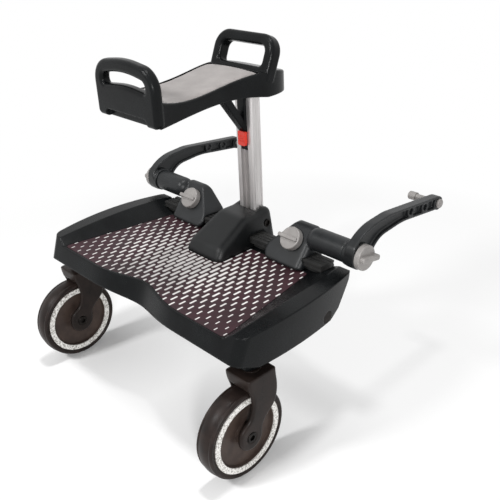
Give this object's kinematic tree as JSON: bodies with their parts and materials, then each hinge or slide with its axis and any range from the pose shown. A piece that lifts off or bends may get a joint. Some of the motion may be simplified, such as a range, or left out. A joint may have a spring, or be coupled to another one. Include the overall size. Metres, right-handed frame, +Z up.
{
  "type": "buggy board",
  "caption": "Ride-on board hitched behind a pushchair: sprung swivel wheels, sliding connectors with curved arms, and a saddle with two grab handles on a post.",
  "frame": {"origin": "on the floor under the middle of the bounding box", "axes": "+X to the rider's right, +Y forward to the pushchair, +Z up; board level, tyres on z = 0"},
  "size_m": [0.4154, 0.4, 0.439],
  "materials": {
    "black_plastic": "fine moulded grain",
    "caster_plastic": "satin moulded",
    "mat_rubber": "printed, fine grain",
    "grey_plastic": "satin moulded",
    "red_plastic": "satin moulded",
    "pad_foam": "soft skin",
    "post_aluminium": "satin anodised extrusion",
    "steel": "zinc plated",
    "brass": "turned",
    "nylon": "turned",
    "reflector": "reflective, mottled",
    "tyre": "matt rubber"
  },
  "bodies": {
    "board": {"deck_shell": "black_plastic", "deck_mat": "mat_rubber", "connector_rail": "black_plastic", "rail_screws": "steel", "tower": "black_plastic", "tower_screws": "steel", "post": "post_aluminium", "post_bolt": "steel", "hinge_pin_left": "steel", "hinge_pin_right": "steel", "suspension_spring_left": "steel", "suspension_spring_right": "steel"},
    "suspension_left": {"suspension_arm_left": "black_plastic", "swivel_bush_left": "nylon"},
    "caster_left": {"fork_left": "caster_plastic", "kingpin_left": "steel", "axle_left": "steel"},
    "wheel_left": {"tyre_left": "tyre", "hub_left": "caster_plastic", "reflector_rings_left": "reflector", "wheel_bushes_left": "nylon"},
    "connector_left": {"housing_left": "black_plastic", "clamp_insert_left": "brass", "pivot_insert_left": "brass"},
    "clamp_left": {"clamp_knob_left": "grey_plastic", "clamp_stud_left": "steel"},
    "hitch_arm_left": {"curved_arm_left": "black_plastic", "hitch_pin_left": "grey_plastic"},
    "pivot_knob_left": {"arm_knob_left": "grey_plastic", "arm_stud_left": "steel"},
    "suspension_right": {"suspension_arm_right": "black_plastic", "swivel_bush_right": "nylon"},
    "caster_right": {"fork_right": "caster_plastic", "kingpin_right": "steel", "axle_right": "steel"},
    "wheel_right": {"tyre_right": "tyre", "hub_right": "caster_plastic", "reflector_rings_right": "reflector", "wheel_bushes_right": "nylon"},
    "connector_right": {"housing_right": "black_plastic", "clamp_insert_right": "brass", "pivot_insert_right": "brass"},
    "clamp_right": {"clamp_knob_right": "grey_plastic", "clamp_stud_right": "steel"},
    "hitch_arm_right": {"curved_arm_right": "black_plastic", "hitch_pin_right": "grey_plastic"},
    "pivot_knob_right": {"arm_knob_right": "grey_plastic", "arm_stud_right": "steel"},
    "saddle": {"seat_shell": "black_plastic", "seat_pad": "pad_foam", "brace": "black_plastic", "brace_screws": "steel"},
    "latch_button": {"latch": "red_plastic"}
  },
  "joints": [
    {"name": "suspension_left", "type": "hinge", "parent": "board", "child": "suspension_left", "pos_m": [-0.1677, -0.014, 0.148], "axis": [-1, 0, 0], "range_deg": [0, 3.5], "stiffness_Nm_per_rad": 60, "springref_deg": -4.01, "deforming": ["suspension_spring_left"]},
    {"name": "caster_swivel_left", "type": "hinge", "parent": "suspension_left", "child": "caster_left", "pos_m": [-0.173, -0.124, 0.13], "axis": [0, 0, 1], "continuous": true},
    {"name": "wheel_spin_left", "type": "hinge", "parent": "caster_left", "child": "wheel_left", "pos_m": [-0.173, -0.144, 0.056], "axis": [1, 0, 0], "continuous": true},
    {"name": "connector_slide_left", "type": "slide", "parent": "board", "child": "connector_left", "axis": [-1, 0, 0], "range_m": [-0.022, 0.008]},
    {"name": "clamp_turn_left", "type": "hinge", "parent": "connector_left", "child": "clamp_left", "pos_m": [-0.097, 0.02483, 0.204], "axis": [0, -0.7857, 0.6186], "continuous": true},
    {"name": "arm_pivot_left", "type": "hinge", "parent": "connector_left", "child": "hitch_arm_left", "pos_m": [-0.176, 0.036, 0.21], "axis": [1, 0, 0], "range_deg": [-40, 60]},
    {"name": "pivot_knob_turn_left", "type": "hinge", "parent": "connector_left", "child": "pivot_knob_left", "pos_m": [-0.1944, 0.036, 0.21], "axis": [1, 0, 0], "continuous": true},
    {"name": "suspension_right", "type": "hinge", "parent": "board", "child": "suspension_right", "pos_m": [0.1677, -0.014, 0.148], "axis": [-1, 0, 0], "range_deg": [0, 3.5], "stiffness_Nm_per_rad": 60, "springref_deg": -4.01, "deforming": ["suspension_spring_right"]},
    {"name": "caster_swivel_right", "type": "hinge", "parent": "suspension_right", "child": "caster_right", "pos_m": [0.173, -0.124, 0.13], "axis": [0, 0, 1], "continuous": true},
    {"name": "wheel_spin_right", "type": "hinge", "parent": "caster_right", "child": "wheel_right", "pos_m": [0.173, -0.144, 0.056], "axis": [1, 0, 0], "continuous": true},
    {"name": "connector_slide_right", "type": "slide", "parent": "board", "child": "connector_right", "axis": [1, 0, 0], "range_m": [-0.022, 0.008]},
    {"name": "clamp_turn_right", "type": "hinge", "parent": "connector_right", "child": "clamp_right", "pos_m": [0.097, 0.02483, 0.204], "axis": [0, -0.7857, 0.6186], "continuous": true},
    {"name": "arm_pivot_right", "type": "hinge", "parent": "connector_right", "child": "hitch_arm_right", "pos_m": [0.176, 0.036, 0.21], "axis": [1, 0, 0], "range_deg": [-40, 60]},
    {"name": "pivot_knob_turn_right", "type": "hinge", "parent": "connector_right", "child": "pivot_knob_right", "pos_m": [0.1944, 0.036, 0.21], "axis": [1, 0, 0], "continuous": true},
    {"name": "saddle_height", "type": "slide", "parent": "board", "child": "saddle", "axis": [0, 0, 1], "range_m": [0, 0.015]},
    {"name": "saddle_latch", "type": "slide", "parent": "saddle", "child": "latch_button", "axis": [0, 1, 0], "range_m": [0, 0.0025], "stiffness_N_per_m": 300, "springref_m": -0.002}
  ]
}
